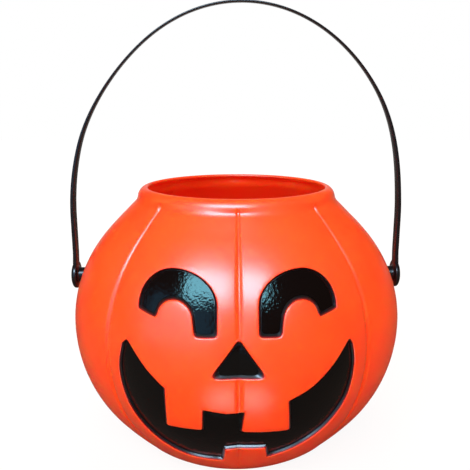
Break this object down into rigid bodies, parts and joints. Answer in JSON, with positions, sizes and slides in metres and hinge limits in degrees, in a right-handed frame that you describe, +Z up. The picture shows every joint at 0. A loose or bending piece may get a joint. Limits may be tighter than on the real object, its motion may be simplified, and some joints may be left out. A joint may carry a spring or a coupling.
{
  "type": "light-up pumpkin pail",
  "caption": "Round ribbed plastic pail with a jack-o'-lantern face, an open top, a swinging strip handle and a battery light unit in the floor.",
  "frame": {"origin": "centre of the foot ring, on the surface that the pail stands on", "axes": "+Z up along the pail's axis, -Y out through the face, +X to the right seen from the front and along the handle's pivots"},
  "size_m": [0.2086, 0.1984, 0.268],
  "materials": {
    "orange_shell": "satin moulded polyethylene",
    "face_paint": "glossy black paint with orange peel",
    "black_handle": "satin moulded polyethylene",
    "black_housing": "fine texture",
    "frosted_lens": "frosted translucent",
    "circuit_board": "solder mask",
    "led_epoxy": "clear epoxy",
    "chip_epoxy": "epoxy blob",
    "switch_steel": "pressed tin-plated steel",
    "black_knob": "moulded",
    "cell_steel": "plated can",
    "nickel_strip": "nickel plated",
    "screw_steel": "zinc plated",
    "red_wire": "insulated wire",
    "black_wire": "insulated wire"
  },
  "bodies": {
    "pail": {"pail_shell": "orange_shell", "left_eye_paint": "face_paint", "right_eye_paint": "face_paint", "nose_paint": "face_paint", "mouth_paint": "face_paint", "base_housing": "black_housing", "clamp_ring": "black_housing", "lens": "frosted_lens", "circuit_board": "circuit_board", "led_1": "led_epoxy", "led_2": "led_epoxy", "led_3": "led_epoxy", "flasher_chip": "chip_epoxy", "switch_body": "switch_steel", "cell_1": "cell_steel", "cell_2": "cell_steel", "cell_3": "cell_steel", "contact_positive": "nickel_strip", "contact_negative": "nickel_strip", "battery_spring": "nickel_strip", "housing_screw_1": "screw_steel", "housing_screw_2": "screw_steel", "housing_screw_3": "screw_steel", "lead_positive": "red_wire", "lead_negative": "black_wire", "lead_switched": "black_wire"},
    "carrying_handle": {"handle": "black_handle"},
    "switch_slider": {"switch_knob": "black_knob"},
    "door": {"battery_door": "black_housing", "door_screw": "screw_steel"}
  },
  "joints": [
    {"name": "handle_swing", "type": "hinge", "parent": "pail", "child": "carrying_handle", "pos_m": [0, 0, 0.1025], "axis": [1, 0, 0], "range_deg": [-125, 125]},
    {"name": "switch_slide", "type": "slide", "parent": "pail", "child": "switch_slider", "axis": [1, 0, 0], "range_m": [0, 0.003]},
    {"name": "door_hinge", "type": "hinge", "parent": "pail", "child": "door", "pos_m": [-0.01295, 0.0086, 0.0029], "axis": [0, 1, 0], "range_deg": [0, 75]}
  ]
}
